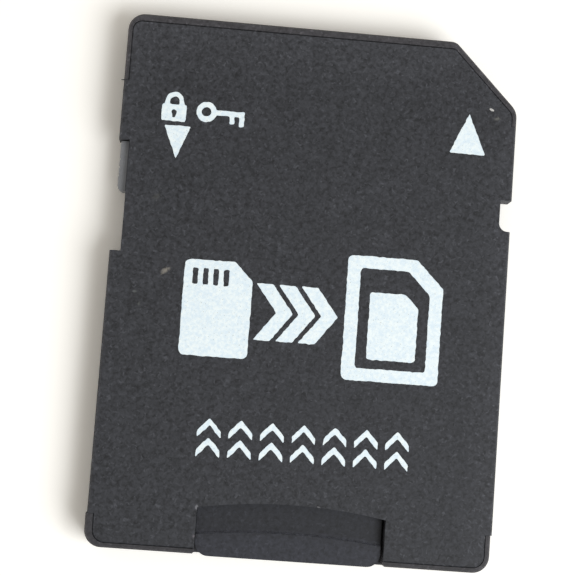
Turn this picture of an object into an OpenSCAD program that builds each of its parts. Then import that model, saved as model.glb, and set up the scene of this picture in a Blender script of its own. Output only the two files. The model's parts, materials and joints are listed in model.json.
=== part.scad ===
// Full-size adapter for a small memory card, with the small card pushed home.
// Millimetres. The origin is under the middle of the body, +Y to the contact end, +Z to the label face.

/* [Body] */
// Width across the long edges
body_w = 24; // [23.6:0.1:25]
// Length from the contact end to the card end
body_l = 32; // [31:0.1:34]
// Thickness over both faces
body_t = 2.1; // [2.05:0.01:2.4]
// Leg of the cut-off corner
corner_cut = 4; // [3.6:0.1:4.2]
// Radius of the square corners
corner_r = 1; // [0.6:0.1:1.3]
// Radius where the cut-off corner meets the contact end
cut_front_r = 0.7; // [0.4:0.1:1.2]
// Radius where the cut-off corner meets the long edge
cut_side_r = 1.1; // [0.5:0.1:1.4]
// Bevel round the edges of both faces
edge_bevel = 0.12; // [0.05:0.01:0.2]

/* [Rails] */
// Thickness of the guide rail along each long edge
rail_t = 1.4; // [1.3:0.01:1.5]
// Width of the ledge under each rail
rail_w = 1; // [0.7:0.05:1.15]
// Length of the full-width block at the card end
end_block_l = 1.95; // [1.6:0.05:2.2]

/* [Cover and its rims] */
// Height of the parting plane between shell and cover
seam_z = 1.4; // [1.3:0.01:1.45]
// Width of the open seam round the cover
seam = 0.02; // [0.01:0.01:0.08]
// Bevel on the cover's edge along the seam
seam_bevel = 0.06; // [0.03:0.01:0.12]
// Shell rim in front of the cover
rim_front = 0.45; // [0.35:0.05:0.6]
// Shell rim along the cut-off corner
rim_cut = 0.35; // [0.25:0.05:0.5]
// Shell rim beside the cover near the contact end
rim_side = 0.28; // [0.2:0.02:0.4]
// Length of that side rim on the switch side
rim_left_l = 4.14; // [3:0.1:5]
// Length of that side rim on the latch side
rim_right_l = 5; // [4.4:0.1:6]
// Shell rim behind the cover
rim_rear = 0.3; // [0.2:0.02:0.5]
// Shell rim beside the cover at the card end
rim_rear_side = 0.39; // [0.3:0.01:0.5]
// Length of the card end's side rim on the latch side
rim_rear_right_l = 2.25; // [2:0.05:2.6]
// Sideways offset of the shell's card end against the cover, as assembled
rear_offset = 0.08; // [0:0.01:0.12]
// Width of the thumb cut-out in the cover
cutout_w = 11.2; // [11.1:0.05:11.6]
// Depth of the thumb cut-out at its sides
cutout_l = 2.72; // [2.4:0.02:3.2]
// Rise of the thumb cut-out's arc at its middle
cutout_rise = 0.5; // [0.2:0.05:0.9]
// Diameter of the pegs that locate the cover
peg_d = 0.8; // [0.6:0.05:1]
// Height of the pegs above the parting plane
peg_h = 0.3; // [0.2:0.01:0.35]
// Clearance round and over the pegs
peg_gap = 0.05; // [0.02:0.01:0.1]
// Distance from the card end to the rear pegs
peg_rear = 2.85; // [2.75:0.05:2.95]

/* [Notches and lock slider] */
// Distance from the contact end to the switch notch
switch_y = 7.76; // [7.4:0.02:8]
// Length of the switch notch
switch_l = 6.74; // [6.4:0.02:7]
// Depth of the switch notch
switch_depth = 0.65; // [0.55:0.05:0.7]
// Distance from the contact end to the latch notch
latch_y = 9.57; // [9:0.01:10]
// Length of the latch notch
latch_l = 1.9; // [1.7:0.1:2.2]
// Depth of the latch notch
latch_depth = 0.7; // [0.6:0.05:0.8]
// Radius in the front inner corner of the latch notch
latch_front_r = 0.1; // [0.05:0.05:0.3]
// Radius in the rear inner corner of the latch notch
latch_r = 0.5; // [0.2:0.05:0.6]
// Length of the lock slider
slider_l = 3.04; // [2.6:0.02:3.4]
// Distance of the slider's outer face inside the body's edge
slider_inset = 0.1; // [0.05:0.01:0.2]
// Distance of the slider's grip below the label face
slider_drop = 0.48; // [0.25:0.01:0.55]
// Radius on the front outer corner of the slider's grip
slider_front_r = 0.08; // [0.05:0.01:0.2]
// Radius on the rear outer corner of the slider's grip
slider_rear_r = 0.42; // [0.2:0.02:0.45]
// Radius along the outer edge of the slider's grip
slider_edge_r = 0.35; // [0.1:0.01:0.4]
// Running clearance round the slider
slider_gap = 0.05; // [0.03:0.01:0.08]
// Wall that traps the slider's runner
slider_lip_t = 0.3; // [0.25:0.05:0.4]
// Thickness of the slider's web through that wall
slider_web_t = 0.5; // [0.4:0.05:0.6]
// Width of the slider's runner behind that wall
runner_w = 0.35; // [0.3:0.01:0.4]
// Height of the slider's runner
runner_t = 0.75; // [0.65:0.01:0.78]
// Distance of the runner's middle below the middle of the rail
runner_drop = 0.15; // [0.1:0.01:0.2]
// Length that the runner reaches past each end of the grip
runner_reach = 0.4; // [0.2:0.05:0.6]
// Radius of the slider's detent
detent_r = 0.3; // [0.2:0.05:0.35]
// Height of the slider's detent
detent_h = 0.1; // [0.06:0.01:0.14]
// Depth of the grooves in the slider's grip
groove_d = 0.05; // [0.03:0.01:0.1]
// Width of the grooves in the slider's grip
groove_w = 0.2; // [0.1:0.02:0.3]
// Pitch of the grooves in the slider's grip
groove_pitch = 0.5; // [0.4:0.02:0.6]

/* [Small card] */
// Width of the small card
card_w = 11; // [10.8:0.05:11.1]
// Length of the small card
card_l = 15; // [14.8:0.05:15.2]
// Thickness of the small card
card_t = 0.7; // [0.65:0.01:0.75]
// Height of the small card's grip lip above that
lip_t = 0.26; // [0.2:0.01:0.35]
// Length of the grip lip at its middle
lip_l = 1.62; // [1.4:0.02:2]
// Rise of the grip lip's arc at its middle
lip_rise = 0.34; // [0.2:0.02:0.5]
// Length of the slope in front of the grip lip
lip_slope_l = 0.04; // [0.02:0.01:0.3]
// Radius of the small card's outer corners
card_r = 0.8; // [0.5:0.05:1]
// Width lost where the small card narrows to its contact end
card_step = 1.3; // [1.1:0.05:1.4]
// Distance from the small card's grip end to its side notch
notch_y = 6.4; // [6.2:0.05:6.6]
// Length of the side notch
notch_l = 1.5; // [1.3:0.05:1.6]
// Depth of the side notch
notch_depth = 0.7; // [0.5:0.05:0.8]
// Radius of the side notch's corners
notch_r = 0.2; // [0.1:0.02:0.25]
// Length of the tooth in front of the side notch
tooth_l = 1.2; // [1:0.05:1.4]
// Radius in front of the tooth
tooth_r = 0.3; // [0.1:0.05:0.4]
// Radius where the small card has narrowed
step_r = 0.5; // [0.2:0.05:0.6]
// Bevel on the small card's contact end
card_bevel = 0.15; // [0.1:0.01:0.2]
// Thickness of the small card's circuit board
board_t = 0.2; // [0.15:0.01:0.25]
// Length of the memory chip
memory_l = 8.6; // [7.5:0.1:9]
// Distance from the small card's long edges to the memory chip
chip_side = 1; // [0.9:0.05:1.5]
// Thickness of the memory chip
memory_t = 0.25; // [0.2:0.01:0.3]
// Side of the controller chip
controller_l = 2.6; // [2:0.1:3]
// Thickness of the controller chip
controller_t = 0.15; // [0.1:0.01:0.2]
// Gap between both chips and to the card's grip end
chip_gap = 0.8; // [0.6:0.05:1]

/* [Small card pads] */
// Gap between the small card's pads
card_pad_gap = 0.3; // [0.25:0.01:0.4]
// Length of the small card's signal pads
card_pad_l = 2.9; // [2.6:0.05:3.1]
// Extra length of the small card's supply pads
supply_pad_extra = 0.3; // [0.1:0.05:0.4]
// Distance from the small card's contact end to its signal pads
card_pad_y = 1.1; // [1:0.05:1.3]
// Distance from each side of the narrow end to the nearest pad's middle
card_pad_x = 1; // [0.9:0.02:1.05]
// Thickness of the small card's pads
card_pad_t = 0.04; // [0.03:0.01:0.06]

/* [Card slot] */
// Thickness of the shell's floor under the small card
floor_t = 0.75; // [0.7:0.01:0.78]
// Clearance under the small card
card_under = 0.1; // [0.08:0.01:0.12]
// Clearance over the small card
card_over = 0.1; // [0.05:0.01:0.12]
// Clearance at each side of the small card
card_side = 0.1; // [0.05:0.01:0.15]
// Clearance in front of the pushed-in card
card_stop = 0.2; // [0.1:0.05:0.3]
// Length of the pushed-in card that stands out of the body
card_proud = 0.1; // [0:0.02:0.2]
// Distance that the card lies off the slot's middle, towards the switch side
card_shift = 0.07; // [0:0.01:0.08]
// Flare on each side of the slot's mouth
mouth_flare = 0.1; // [0.05:0.01:0.2]

/* [Body contacts] */
// Thickness of the contact metal
contact_t = 0.12; // [0.1:0.01:0.14]
// Height of the contacts above the contact side
contact_z = 0.7; // [0.66:0.01:0.74]
// Distance from the latch side to the first contact's bay
bay_side = 1.775; // [1.7:0.025:1.9]
// Distance from the switch side to the last contact's middle
last_pad_side = 2.25; // [2.2:0.01:2.4]
// Step from the last wide contact to the first narrow one
narrow_step = 2.425; // [2.4:0.005:2.45]
// Pitch of the narrow contacts
narrow_pitch = 1.7; // [1.65:0.01:1.72]
// Wall between the bays of the wide contacts
bay_wall = 0.8; // [0.7:0.02:1]
// Wall between the bays of the narrow contacts
narrow_bay_wall = 0.6; // [0.56:0.01:0.7]
// Radius of the bays' rear corners
bay_r = 0.25; // [0.1:0.05:0.4]
// Overlap of the metal on each side of a bay
bay_lap = 0.1; // [0.05:0.01:0.12]
// Length of a contact
pad_l = 4; // [3.6:0.1:4.2]
// Distance from the contact end to the contacts
pad_front = 1; // [0.9:0.05:1.1]
// Length of the neck behind each contact, before its lead turns
neck_l = 1.1; // [1:0.05:1.4]
// Length of full width at the start of the neck
neck_start = 0.2; // [0.1:0.02:0.3]
// Length over which the neck narrows to its lead
neck_taper = 0.4; // [0.3:0.02:0.6]
// Width of the leads between contacts and spring fingers
lead_w = 0.6; // [0.5:0.02:0.64]
// Width of the spring fingers
finger_w = 0.5; // [0.4:0.02:0.6]
// Bend radius of the spring fingers
finger_r = 0.18; // [0.14:0.01:0.2]
// Distance from the slot's end to the flat root of the fingers
finger_root_gap = 0.1; // [0.05:0.01:0.2]
// Length of finger that lies flat in its lead
finger_lap = 0.2; // [0.15:0.01:0.3]
// Length over which a finger dips under the card's end
finger_dip_l = 0.55; // [0.5:0.01:0.7]
// Length of the finger's tip behind its contact point
finger_tip_l = 0.8; // [0.6:0.05:1]
// Drop of the finger's tip below its contact point
finger_tip_drop = 0.25; // [0.1:0.01:0.28]
// Gap between the sprung fingers and the card's pads
finger_gap = 0.05; // [0.04:0.01:0.08]
// Depth of the pocket under the fingers
finger_room = 0.45; // [0.42:0.01:0.46]
// Length of that pocket behind the contact points
finger_room_l = 1.5; // [1.2:0.1:1.8]
// Clearance between the dipping fingers and the pocket's floor
finger_floor_gap = 0.05; // [0.03:0.01:0.08]
// Height of the ground strap's bridge above the leads
bridge_rise = 0.35; // [0.3:0.01:0.4]
// Width of the ground strap's bridge
bridge_w = 0.6; // [0.5:0.05:0.8]
// Distance from a lead's middle to the foot of the bridge
bridge_foot = 0.5; // [0.4:0.02:0.6]
// Length of the slope at each end of the bridge
bridge_slope_l = 0.4; // [0.3:0.02:0.5]
// Bend radius of the bridge
bridge_r = 0.12; // [0.1:0.01:0.15]

/* [Contact carrier] */
// Wall between the contact tray and the body's edges
tray_wall = 1.5; // [1.48:0.01:1.6]
// Wall in front of the contact tray
tray_front = 0.9; // [0.85:0.01:0.9]
// Wall between the contact tray and the cut-off corner
tray_cut = 0.8; // [0.7:0.02:0.84]
// Thickness of the carrier's plate
carrier_t = 0.6; // [0.55:0.01:0.65]
// Clearance round the carrier
carrier_gap = 0.04; // [0.02:0.01:0.06]
// Thickness of the carrier's bar that stops the small card
stop_t = 1.4; // [1.2:0.1:1.8]
// Width of the carrier's middle rib
carrier_rib = 1.4; // [1:0.1:2]
// Width of the carrier's frame beside its windows
carrier_frame = 1.1; // [0.9:0.1:1.4]
// Width of the carrier's bars in front of and behind its windows
carrier_bar = 0.4; // [0.3:0.05:0.6]

/* [Card retainer] */
// Thickness of the retaining spring
spring_t = 0.15; // [0.1:0.01:0.18]
// Height of the retaining spring
spring_h = 0.4; // [0.3:0.01:0.45]
// Length of the retaining spring
spring_l = 6.8; // [6.4:0.1:7.2]
// Distance from the card's notch back to the spring's fixed end
spring_back = 4.3; // [4.1:0.1:4.6]
// Distance from the slot's side to the spring's middle line
spring_side = 0.35; // [0.3:0.01:0.4]
// Bend radius of the spring
spring_r = 0.2; // [0.15:0.01:0.25]
// Length of the spring's straight foot, and of the slope in front of it
spring_foot_l = 1.1; // [1:0.05:1.2]
// Distance that the spring's nose reaches into the card's notch
nose_reach = 0.32; // [0.2:0.02:0.4]
// Length of each flank of the spring's nose
nose_flank_l = 1.2; // [1.1:0.05:1.3]
// Distance of the nose in front of the notch's middle
nose_offset = 0.1; // [0.05:0.01:0.15]
// Distance that the spring's free end turns away from the card
spring_tail = 0.2; // [0.1:0.02:0.3]
// Width of the spring's room beside the card slot
spring_room = 1.3; // [1.2:0.05:1.4]
// Length of the room past the spring's free end
spring_end_room = 0.3; // [0.2:0.05:0.5]
// Clearance at the spring's fixed end
spring_gap = 0.03; // [0.02:0.01:0.05]
// Length of the slit that grips the spring's foot
spring_slit_l = 0.9; // [0.8:0.05:1]
// Wall between the slit's front end and the card slot
spring_slit_wall = 0.2; // [0.1:0.02:0.3]
// Length over which the room widens in front of the slit
spring_widen_l = 0.8; // [0.6:0.05:0.9]

/* [Hollows] */
// Wall between a hollow and the edge of the body
hollow_wall = 1.3; // [1.2:0.05:1.5]
// Wall between a hollow and the room beside it
hollow_rib = 0.6; // [0.5:0.05:0.8]
// Floor under the hollows in the shell
hollow_floor = 0.7; // [0.6:0.05:0.75]
// Diameter of the ejector marks on the contact side
mark_d = 1.5; // [1:0.1:2]
// Depth of the ejector marks
mark_depth = 0.04; // [0.02:0.01:0.06]
// Distance from the middle to the rows of ejector marks
mark_x = 7.6; // [7:0.1:8]
// Distance from the card end to the first ejector marks
mark_rear = 5; // [4:0.1:6]
// Pitch of the ejector marks along each row
mark_pitch = 6.2; // [5:0.1:7]

/* [Hidden] */

// Steps in each rounded corner of an outline, and in each bend of a strip
corner_n = 8;
bend_n = 4;
// Facets round the pegs, the detent and the ejector marks
round_n = 32;
// Overshoot of cuts past the faces that they open
over = 1;
// Contacts of the body, how many of them are wide, and the two that the ground strap joins
pad_n = 9;
wide_n = 7;
ground_front_n = 3;
ground_rear_n = 6;
// Pads of the small card
card_pad_n = 8;
// Ejector marks in each row
mark_n = 3;

hw = body_w / 2;
hl = body_l / 2;
ledge_z = body_t - rail_t;

card_z = floor_t + card_under;
slot_top = card_z + card_t + card_over;
slot_hw = card_w / 2 + card_side;
card_rear = -hl - card_proud;
card_front = card_rear + card_l;
slot_end = card_front + card_stop;
key_y = card_rear + notch_y + notch_l + tooth_l + card_side;

switch_top = hl - switch_y;
switch_end = switch_top - switch_l;
slider_top = switch_top - slider_gap;
lip_x = -hw + switch_depth;
channel_x = lip_x + slider_lip_t;
channel_w = runner_w + detent_h + 2 * slider_gap;
runner_z = (ledge_z + body_t) / 2 - runner_drop - runner_t / 2;
web_z = runner_z + (runner_t - slider_web_t) / 2;
slider_travel = switch_l - slider_l - 2 * slider_gap;
peg_x = (slot_hw + spring_room + hw) / 2;

narrow_w = last_pad_side + narrow_pitch + narrow_step;
pad_pitch = (body_w - bay_side - narrow_w + bay_wall / 2) / (wide_n - 1 / 2);
card_pad_pitch = (card_w - card_step - 2 * card_pad_x) / (card_pad_n - 1);
card_pad_w = card_pad_pitch - card_pad_gap;
memory_w = card_w - 2 * chip_side;

tray_hw = hw - tray_wall;
tray_top = hl - tray_front;
tray_sum = hw + hl - corner_cut - tray_cut * sqrt(2);
fan_front = pad_y(pad_n - 1) - pad_l - neck_l;
corner_fan_front = pad_y(0) - pad_l - neck_l;
fan_rear = slot_end + stop_t;
finger_root = slot_end + finger_root_gap;
contact_y = card_front - card_pad_y - card_pad_l / 2;
card_side_x = card_w / 2;
spring_x = slot_hw + spring_side;
spring_rear = card_rear + notch_y - spring_back;
nose_y = card_rear + notch_y + notch_l / 2 + nose_offset;
spring_z = floor_t + card_under + (seam_z - floor_t - card_under - spring_h) / 2;

gold = [0.83, 0.66, 0.33];
charcoal = [0.2, 0.2, 0.21];
silicon = [0.35, 0.36, 0.4];

// Unit vector along v
function unit(v) = v / norm(v);

// Points that round the corner p between its neighbours a and b
function corner(a, p, b, r, n) =
    r <= 0 ? [p] :
    let (u = unit(a - p), v = unit(b - p), half = acos(u * v) / 2)
    let (centre = p + unit(u + v) * r / sin(half))
    let (s = p + u * r / tan(half) - centre, e = p + v * r / tan(half) - centre)
    let (start = atan2(s[1], s[0]), turn = atan2(cross(s, e), s * e))
    [for (j = [0:n]) centre + r * [cos(start + turn * j / n), sin(start + turn * j / n)]];

// Closed outline with a radius at each of its corners
function rounded(pts, radii) =
    let (k = len(pts))
    [for (i = [0:k - 1]) each corner(pts[(i + k - 1) % k], pts[i], pts[(i + 1) % k], radii[i], corner_n)];

// Open path with the same bend radius at each inner point
function bent(pts, r) =
    let (k = len(pts))
    [pts[0], for (i = [1:k - 2]) each corner(pts[i - 1], pts[i], pts[i + 1], r, bend_n), pts[k - 1]];

// Normal of the step from p to q, and the mitred normal at a point of a path
function normal(p, q) = let (d = unit(q - p)) [-d[1], d[0]];
function mitre(path, i) =
    i == 0 ? normal(path[0], path[1]) :
    i == len(path) - 1 ? normal(path[i - 1], path[i]) :
    let (a = normal(path[i - 1], path[i]), b = normal(path[i], path[i + 1]), s = unit(a + b)) s / (s * a);

// Outline of a strip of thickness t whose middle follows a path
function ribbon(path, t) =
    let (k = len(path) - 1)
    concat(
        [for (i = [0:k]) path[i] + mitre(path, i) * t / 2],
        [for (i = [0:k]) path[k - i] - mitre(path, k - i) * t / 2]
    );

// Arc over a chord of width w at height y that rises by h at its middle, from +X to -X
function bow(w, y, h) =
    let (r = (w * w / 4 + h * h) / (2 * h), a = asin(w / 2 / r), n = 2 * corner_n)
    [for (i = [0:n]) [r * sin(a - 2 * a * i / n), y + h - r + r * cos(a - 2 * a * i / n)]];

// Outline of the body, moved in from its edge by i, with its long edges moved in by a further e
function body_pts(i = 0, e = 0) =
    let (x = hw - i - e, y = hl - i, s = hw + hl - corner_cut - (i + e) * sqrt(2))
    rounded(
        [[-x, -y], [x, -y], [x, s - x], [s - y, y], [-x, y]],
        [corner_r - i, corner_r - i, cut_side_r - i, cut_front_r - i, corner_r - i]
    );

// Outline of the cover's front half between the shell's rims, moved out by g
function cover_front_pts(g = 0) =
    let (front = hl - rim_front + g, side = hw - rim_side + g)
    let (s = hw + hl - corner_cut - (rim_cut - g) * sqrt(2))
    rounded(
        [[-side, 0], [side, 0], [side, s - side], [s - front, front], [-side, front]],
        [0, 0, cut_side_r - rim_cut + g, cut_front_r - rim_cut + g, corner_r - rim_front + g]
    );

// Outline of the cover's rear half between the shell's rims, moved out by g
function cover_rear_pts(g = 0) =
    let (rear = -hl + rim_rear - g, side = hw - rim_rear_side + g, r = corner_r - rim_rear + g)
    rounded([[-side, rear], [side, rear], [side, 0], [-side, 0]], [r, r, 0, 0]);

// Outline of the cover's full-width middle between the ends of the shell's side rims, moved out by g
function cover_middle_pts(g = 0) =
    let (w = hw + 2 * g, left = hl - rim_left_l + g, right = hl - rim_right_l + g)
    let (rear_left = -hl + end_block_l - g, rear_right = -hl + rim_rear_right_l - g)
    [
        [-w, rear_left], [0, rear_left], [0, rear_right], [w, rear_right],
        [w, right], [0, right], [0, left], [-w, left]
    ];

// Outline of the small card's slot, flared at its mouth and narrowed beside the card's contact end
function slot_pts() =
    let (mouth = slot_hw + mouth_flare, throat = -hl + mouth_flare)
    [
        [-mouth, -hl - over], [mouth, -hl - over], [mouth, -hl], [slot_hw, throat], [slot_hw, key_y],
        [slot_hw - card_step, key_y + card_step], [slot_hw - card_step, slot_end],
        [-slot_hw, slot_end], [-slot_hw, throat], [-mouth, -hl]
    ];

// Outline of the contact tray, moved in by g
function tray_pts(g = 0) =
    let (x = tray_hw - g, y = tray_top - g, s = tray_sum - g * sqrt(2))
    [
        [-x, y], [-x, fan_front], [-slot_hw + g, slot_end + g], [slot_hw - g, slot_end + g],
        [x, corner_fan_front], [x, s - x], [s - y, y]
    ];

// Outline of the small card
function card_pts() =
    let (x = card_side_x, n = card_rear + notch_y, t = n + notch_l + tooth_l)
    rounded(
        [
            [-x, card_rear], [x, card_rear], [x, n], [x - notch_depth, n + notch_depth / 2],
            [x - notch_depth, n + notch_l], [x, n + notch_l], [x, t], [x - card_step, t + card_step],
            [x - card_step, card_front], [-x, card_front]
        ],
        [card_r, card_r, 0, notch_r, notch_r, notch_r, tooth_r, step_r, card_r, card_r]
    );

// Middle of the body contact i, counted from the cut-off corner, and the open width of its bay
function pad_x(i) =
    i < wide_n ? hw - bay_side - bay(i) / 2 - i * pad_pitch :
    last_pad_side - hw + (pad_n - 1 - i) * narrow_pitch;
function bay(i) = i < wide_n ? pad_pitch - bay_wall : narrow_pitch - narrow_bay_wall;

// Half width of the contact i, which laps its bay on both sides
function pad_hw(i) = bay(i) / 2 + bay_lap;

// Front end of the body contact i, which stays inside the tray's cut-off corner
function pad_y(i) = min(hl - pad_front, tray_sum - pad_x(i) - pad_hw(i) - carrier_gap);

// Middle of the spring finger k, under the small card's pad
function finger_x(k) = card_side_x - card_step - card_pad_x - k * card_pad_pitch;

// Middle line of the retaining spring, from its fixed end to its free end
function spring_path() =
    let (x = spring_x, back = slot_hw + spring_room - spring_t / 2, foot = spring_rear + spring_foot_l)
    let (nose = card_side_x - card_shift - nose_reach + spring_t / 2)
    bent(
        [
            [back, spring_rear], [back, foot], [x, foot + spring_foot_l],
            [x, nose_y - nose_flank_l], [nose, nose_y], [x, nose_y + nose_flank_l],
            [x + spring_tail, spring_rear + spring_l]
        ],
        spring_r
    );

// Prism on the outline pts between two heights
module slab(pts, z0, z1) {
    translate([0, 0, z0])
        linear_extrude(z1 - z0)
            polygon(pts);
}

// Prism whose outline stands in the YZ plane, from x0 over a width w
module side_slab(pts, x0, w) {
    translate([x0, 0, 0])
        rotate([90, 0, 90])
            linear_extrude(w)
                polygon(pts);
}

// Prism whose outline stands in the XZ plane, from y0 over a length l
module end_slab(pts, y0, l) {
    translate([0, y0 + l, 0])
        rotate([90, 0, 0])
            linear_extrude(l)
                polygon(pts);
}

// Shallow rounds that the ejector pins leave in the contact side
module ejector_marks() {
    for (side = [-1, 1], row = [0:mark_n - 1])
        translate([side * mark_x, -hl + mark_rear + row * mark_pitch, -over])
            cylinder(h = over + mark_depth, d = mark_d, $fn = round_n);
}

// Space under a 45 degree bevel round the label face
module under_label_bevel() {
    hull() {
        slab(body_pts(-over), -over, body_t - edge_bevel - over);
        slab(body_pts(2 * edge_bevel), -over, body_t + edge_bevel);
    }
}

// Space over a 45 degree bevel round the contact side
module over_back_bevel(e) {
    hull() {
        slab(body_pts(-over, e), edge_bevel + over, body_t + over);
        slab(body_pts(2 * edge_bevel, e), -edge_bevel, body_t + over);
    }
}

// Right-angled part of the plane behind the cover's shoulders, which belongs to the shell's card end
module card_end_zone() {
    translate([-hw - over, -hl - over, -over])
        cube([hw + over, over + end_block_l, body_t + 2 * over]);
    translate([0, -hl - over, -over])
        cube([hw + over, over + rim_rear_right_l, body_t + 2 * over]);
}

module switch_notch() {
    translate([-hw - over, switch_end, -over])
        cube([over + switch_depth, switch_l, body_t + 2 * over]);
}

module latch_notch() {
    y1 = hl - latch_y;
    x = hw - latch_depth;
    pts = rounded(
        [[x, y1], [x, y1 - latch_l], [hw + over, y1 - latch_l], [hw + over, y1]],
        [latch_front_r, latch_r, 0, 0]
    );
    slab(pts, -over, body_t + over);
}

// Channel of the slider's runner, with a hollow for the detent at each end of the travel
module slider_channel() {
    reach = runner_reach + slider_gap;
    translate([channel_x, switch_end - reach, runner_z - slider_gap])
        cube([channel_w, switch_l + 2 * reach, runner_t + 2 * slider_gap]);
    translate([lip_x - over, switch_end, web_z - slider_gap])
        cube([over + slider_lip_t + slider_gap, switch_l, slider_web_t + 2 * slider_gap]);
    for (shift = [0, slider_travel])
        translate([channel_x + channel_w, slider_top - slider_l / 2 - shift, runner_z - slider_gap])
            cylinder(h = runner_t + 2 * slider_gap, r = detent_h + slider_gap, $fn = round_n);
}

// Places its children at the four pegs between shell and cover
module at_pegs() {
    for (side = [-1, 1])
        for (y = [-hl + peg_rear, slot_end])
            translate([side * peg_x, y, 0])
                children();
}

// Hollows beside the card slot, which keep the moulded walls even
module hollows(z0, z1) {
    rear = -hl + peg_rear + peg_d / 2 + hollow_rib;
    front = slot_end - peg_d / 2 - hollow_rib;
    l = (front - rear - hollow_rib) / 2;
    outer = hw - hollow_wall;
    for (y = [rear, front - l]) {
        translate([slot_hw + spring_room + hollow_rib, y, z0])
            cube([outer - slot_hw - spring_room - hollow_rib, l, z1 - z0]);
        translate([-outer, y, z0])
            cube([outer - slot_hw - hollow_rib, l, z1 - z0]);
    }
}

// Room of the retaining spring, narrow at the spring's fixed end
module spring_pocket() {
    rear = spring_rear - spring_gap;
    front = spring_rear + spring_l + spring_end_room;
    back = slot_hw + spring_room;
    slit = back - spring_t - spring_gap;
    wide = rear + spring_slit_l + spring_widen_l;
    pts = [
        [slit, rear], [back, rear], [back, front], [slot_hw - over, front],
        [slot_hw - over, wide], [slot_hw + spring_slit_wall, wide], [slit, rear + spring_slit_l]
    ];
    slab(pts, spring_z, seam_z + over);
}

// Bays that open the contacts to the contact side and to the contact end
module bays() {
    for (i = [0:pad_n - 1]) {
        w = bay(i) / 2;
        y = pad_y(i) - pad_l;
        pts = rounded(
            [[pad_x(i) - w, y], [pad_x(i) + w, y], [pad_x(i) + w, hl + over], [pad_x(i) - w, hl + over]],
            [bay_r, bay_r, 0, 0]
        );
        slab(pts, -over, contact_z);
    }
}

// Pocket in the floor that the spring fingers dip into
module finger_pocket() {
    x0 = finger_x(card_pad_n - 1) - card_pad_pitch / 2;
    x1 = finger_x(0) + card_pad_pitch / 2;
    y0 = contact_y - finger_room_l;
    translate([x0, y0, floor_t - finger_room])
        cube([x1 - x0, finger_root + finger_root_gap - y0, finger_room + over]);
}

// Room of the cover inside the shell's rims
module cover_room() {
    for (pts = [cover_front_pts(seam), cover_rear_pts(seam), cover_middle_pts(seam)])
        slab(pts, seam_z, body_t + over);
}

module shell_walls() {
    intersection() {
        slab(body_pts(0, rail_w), 0, ledge_z);
        over_back_bevel(rail_w);
    }
    slab(body_pts(), ledge_z, seam_z);
    difference() {
        intersection() {
            slab(body_pts(), ledge_z, body_t);
            under_label_bevel();
        }
        cover_room();
    }
}

module shell_card_end() {
    intersection() {
        slab(body_pts(), 0, body_t);
        under_label_bevel();
        over_back_bevel(0);
        card_end_zone();
    }
}

module bottom_shell() {
    color(charcoal)
        difference() {
            union() {
                difference() {
                    shell_walls();
                    card_end_zone();
                }
                difference() {
                    translate([-rear_offset, 0, 0])
                        shell_card_end();
                    cover_room();
                }
                at_pegs()
                    cylinder(h = seam_z + peg_h, d = peg_d, $fn = round_n);
            }
            slab(slot_pts(), floor_t, body_t + over);
            slab(tray_pts(), contact_z, body_t + over);
            finger_pocket();
            bays();
            spring_pocket();
            hollows(hollow_floor, seam_z + over);
            slider_channel();
            switch_notch();
            latch_notch();
            ejector_marks();
        }
}

// Half of the cover on the outline high, bevelled out to the outline low along the seam
module cover_half(low, high) {
    hull() {
        slab(low, seam_z, body_t - seam_bevel);
        slab(high, seam_z, body_t);
    }
}

module top_cover() {
    cutout = concat(
        [[-cutout_w / 2, -hl - over], [cutout_w / 2, -hl - over]],
        bow(cutout_w, -hl + cutout_l, cutout_rise)
    );
    color(charcoal)
        difference() {
            intersection() {
                union() {
                    cover_half(cover_front_pts(), cover_front_pts(-seam_bevel));
                    cover_half(cover_rear_pts(), cover_rear_pts(-seam_bevel));
                    slab(cover_middle_pts(), seam_z, body_t);
                }
                slab(body_pts(), 0, body_t + over);
                under_label_bevel();
            }
            slab(slot_pts(), seam_z - over, slot_top);
            slab(tray_pts(), seam_z - over, slot_top);
            hollows(seam_z - over, slot_top);
            slab(cutout, seam_z - over, body_t + over);
            at_pegs()
                translate([0, 0, seam_z - over])
                    cylinder(h = over + peg_h + peg_gap, d = peg_d + 2 * peg_gap, $fn = round_n);
            slider_channel();
            switch_notch();
            latch_notch();
        }
}

// Grip in the notch, web through the wall and runner in the channel
module lock_slider() {
    outer = -hw + slider_inset;
    inner = lip_x - slider_gap;
    rear = slider_top - slider_l;
    low = ledge_z + slider_gap;
    high = body_t - slider_drop;
    grip = rounded(
        [[outer, rear], [inner, rear], [inner, slider_top], [outer, slider_top]],
        [slider_rear_r, 0, 0, slider_front_r]
    );
    profile = rounded([[outer, low], [inner, low], [inner, high], [outer, high]], [0, 0, 0, slider_edge_r]);
    color([0.62, 0.63, 0.65])
        difference() {
            union() {
                intersection() {
                    slab(grip, low, high);
                    end_slab(profile, rear - over, slider_l + 2 * over);
                }
                translate([inner - slider_gap, rear, web_z])
                    cube([channel_x - inner + 3 * slider_gap, slider_l, slider_web_t]);
                translate([channel_x + slider_gap, rear - runner_reach, runner_z])
                    cube([runner_w, slider_l + 2 * runner_reach, runner_t]);
                translate([channel_x + slider_gap + runner_w, rear + slider_l / 2, runner_z])
                    intersection() {
                        translate([detent_h - detent_r, 0, 0])
                            cylinder(h = runner_t, r = detent_r, $fn = round_n);
                        translate([-runner_w / 2, -detent_r, 0])
                            cube([runner_w, 2 * detent_r, runner_t]);
                    }
            }
            for (i = [-1:1])
                translate([outer - over, rear + slider_l / 2 + i * groove_pitch - groove_w / 2, -over])
                    cube([over + groove_d, groove_w, body_t + 2 * over]);
        }
}

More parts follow.
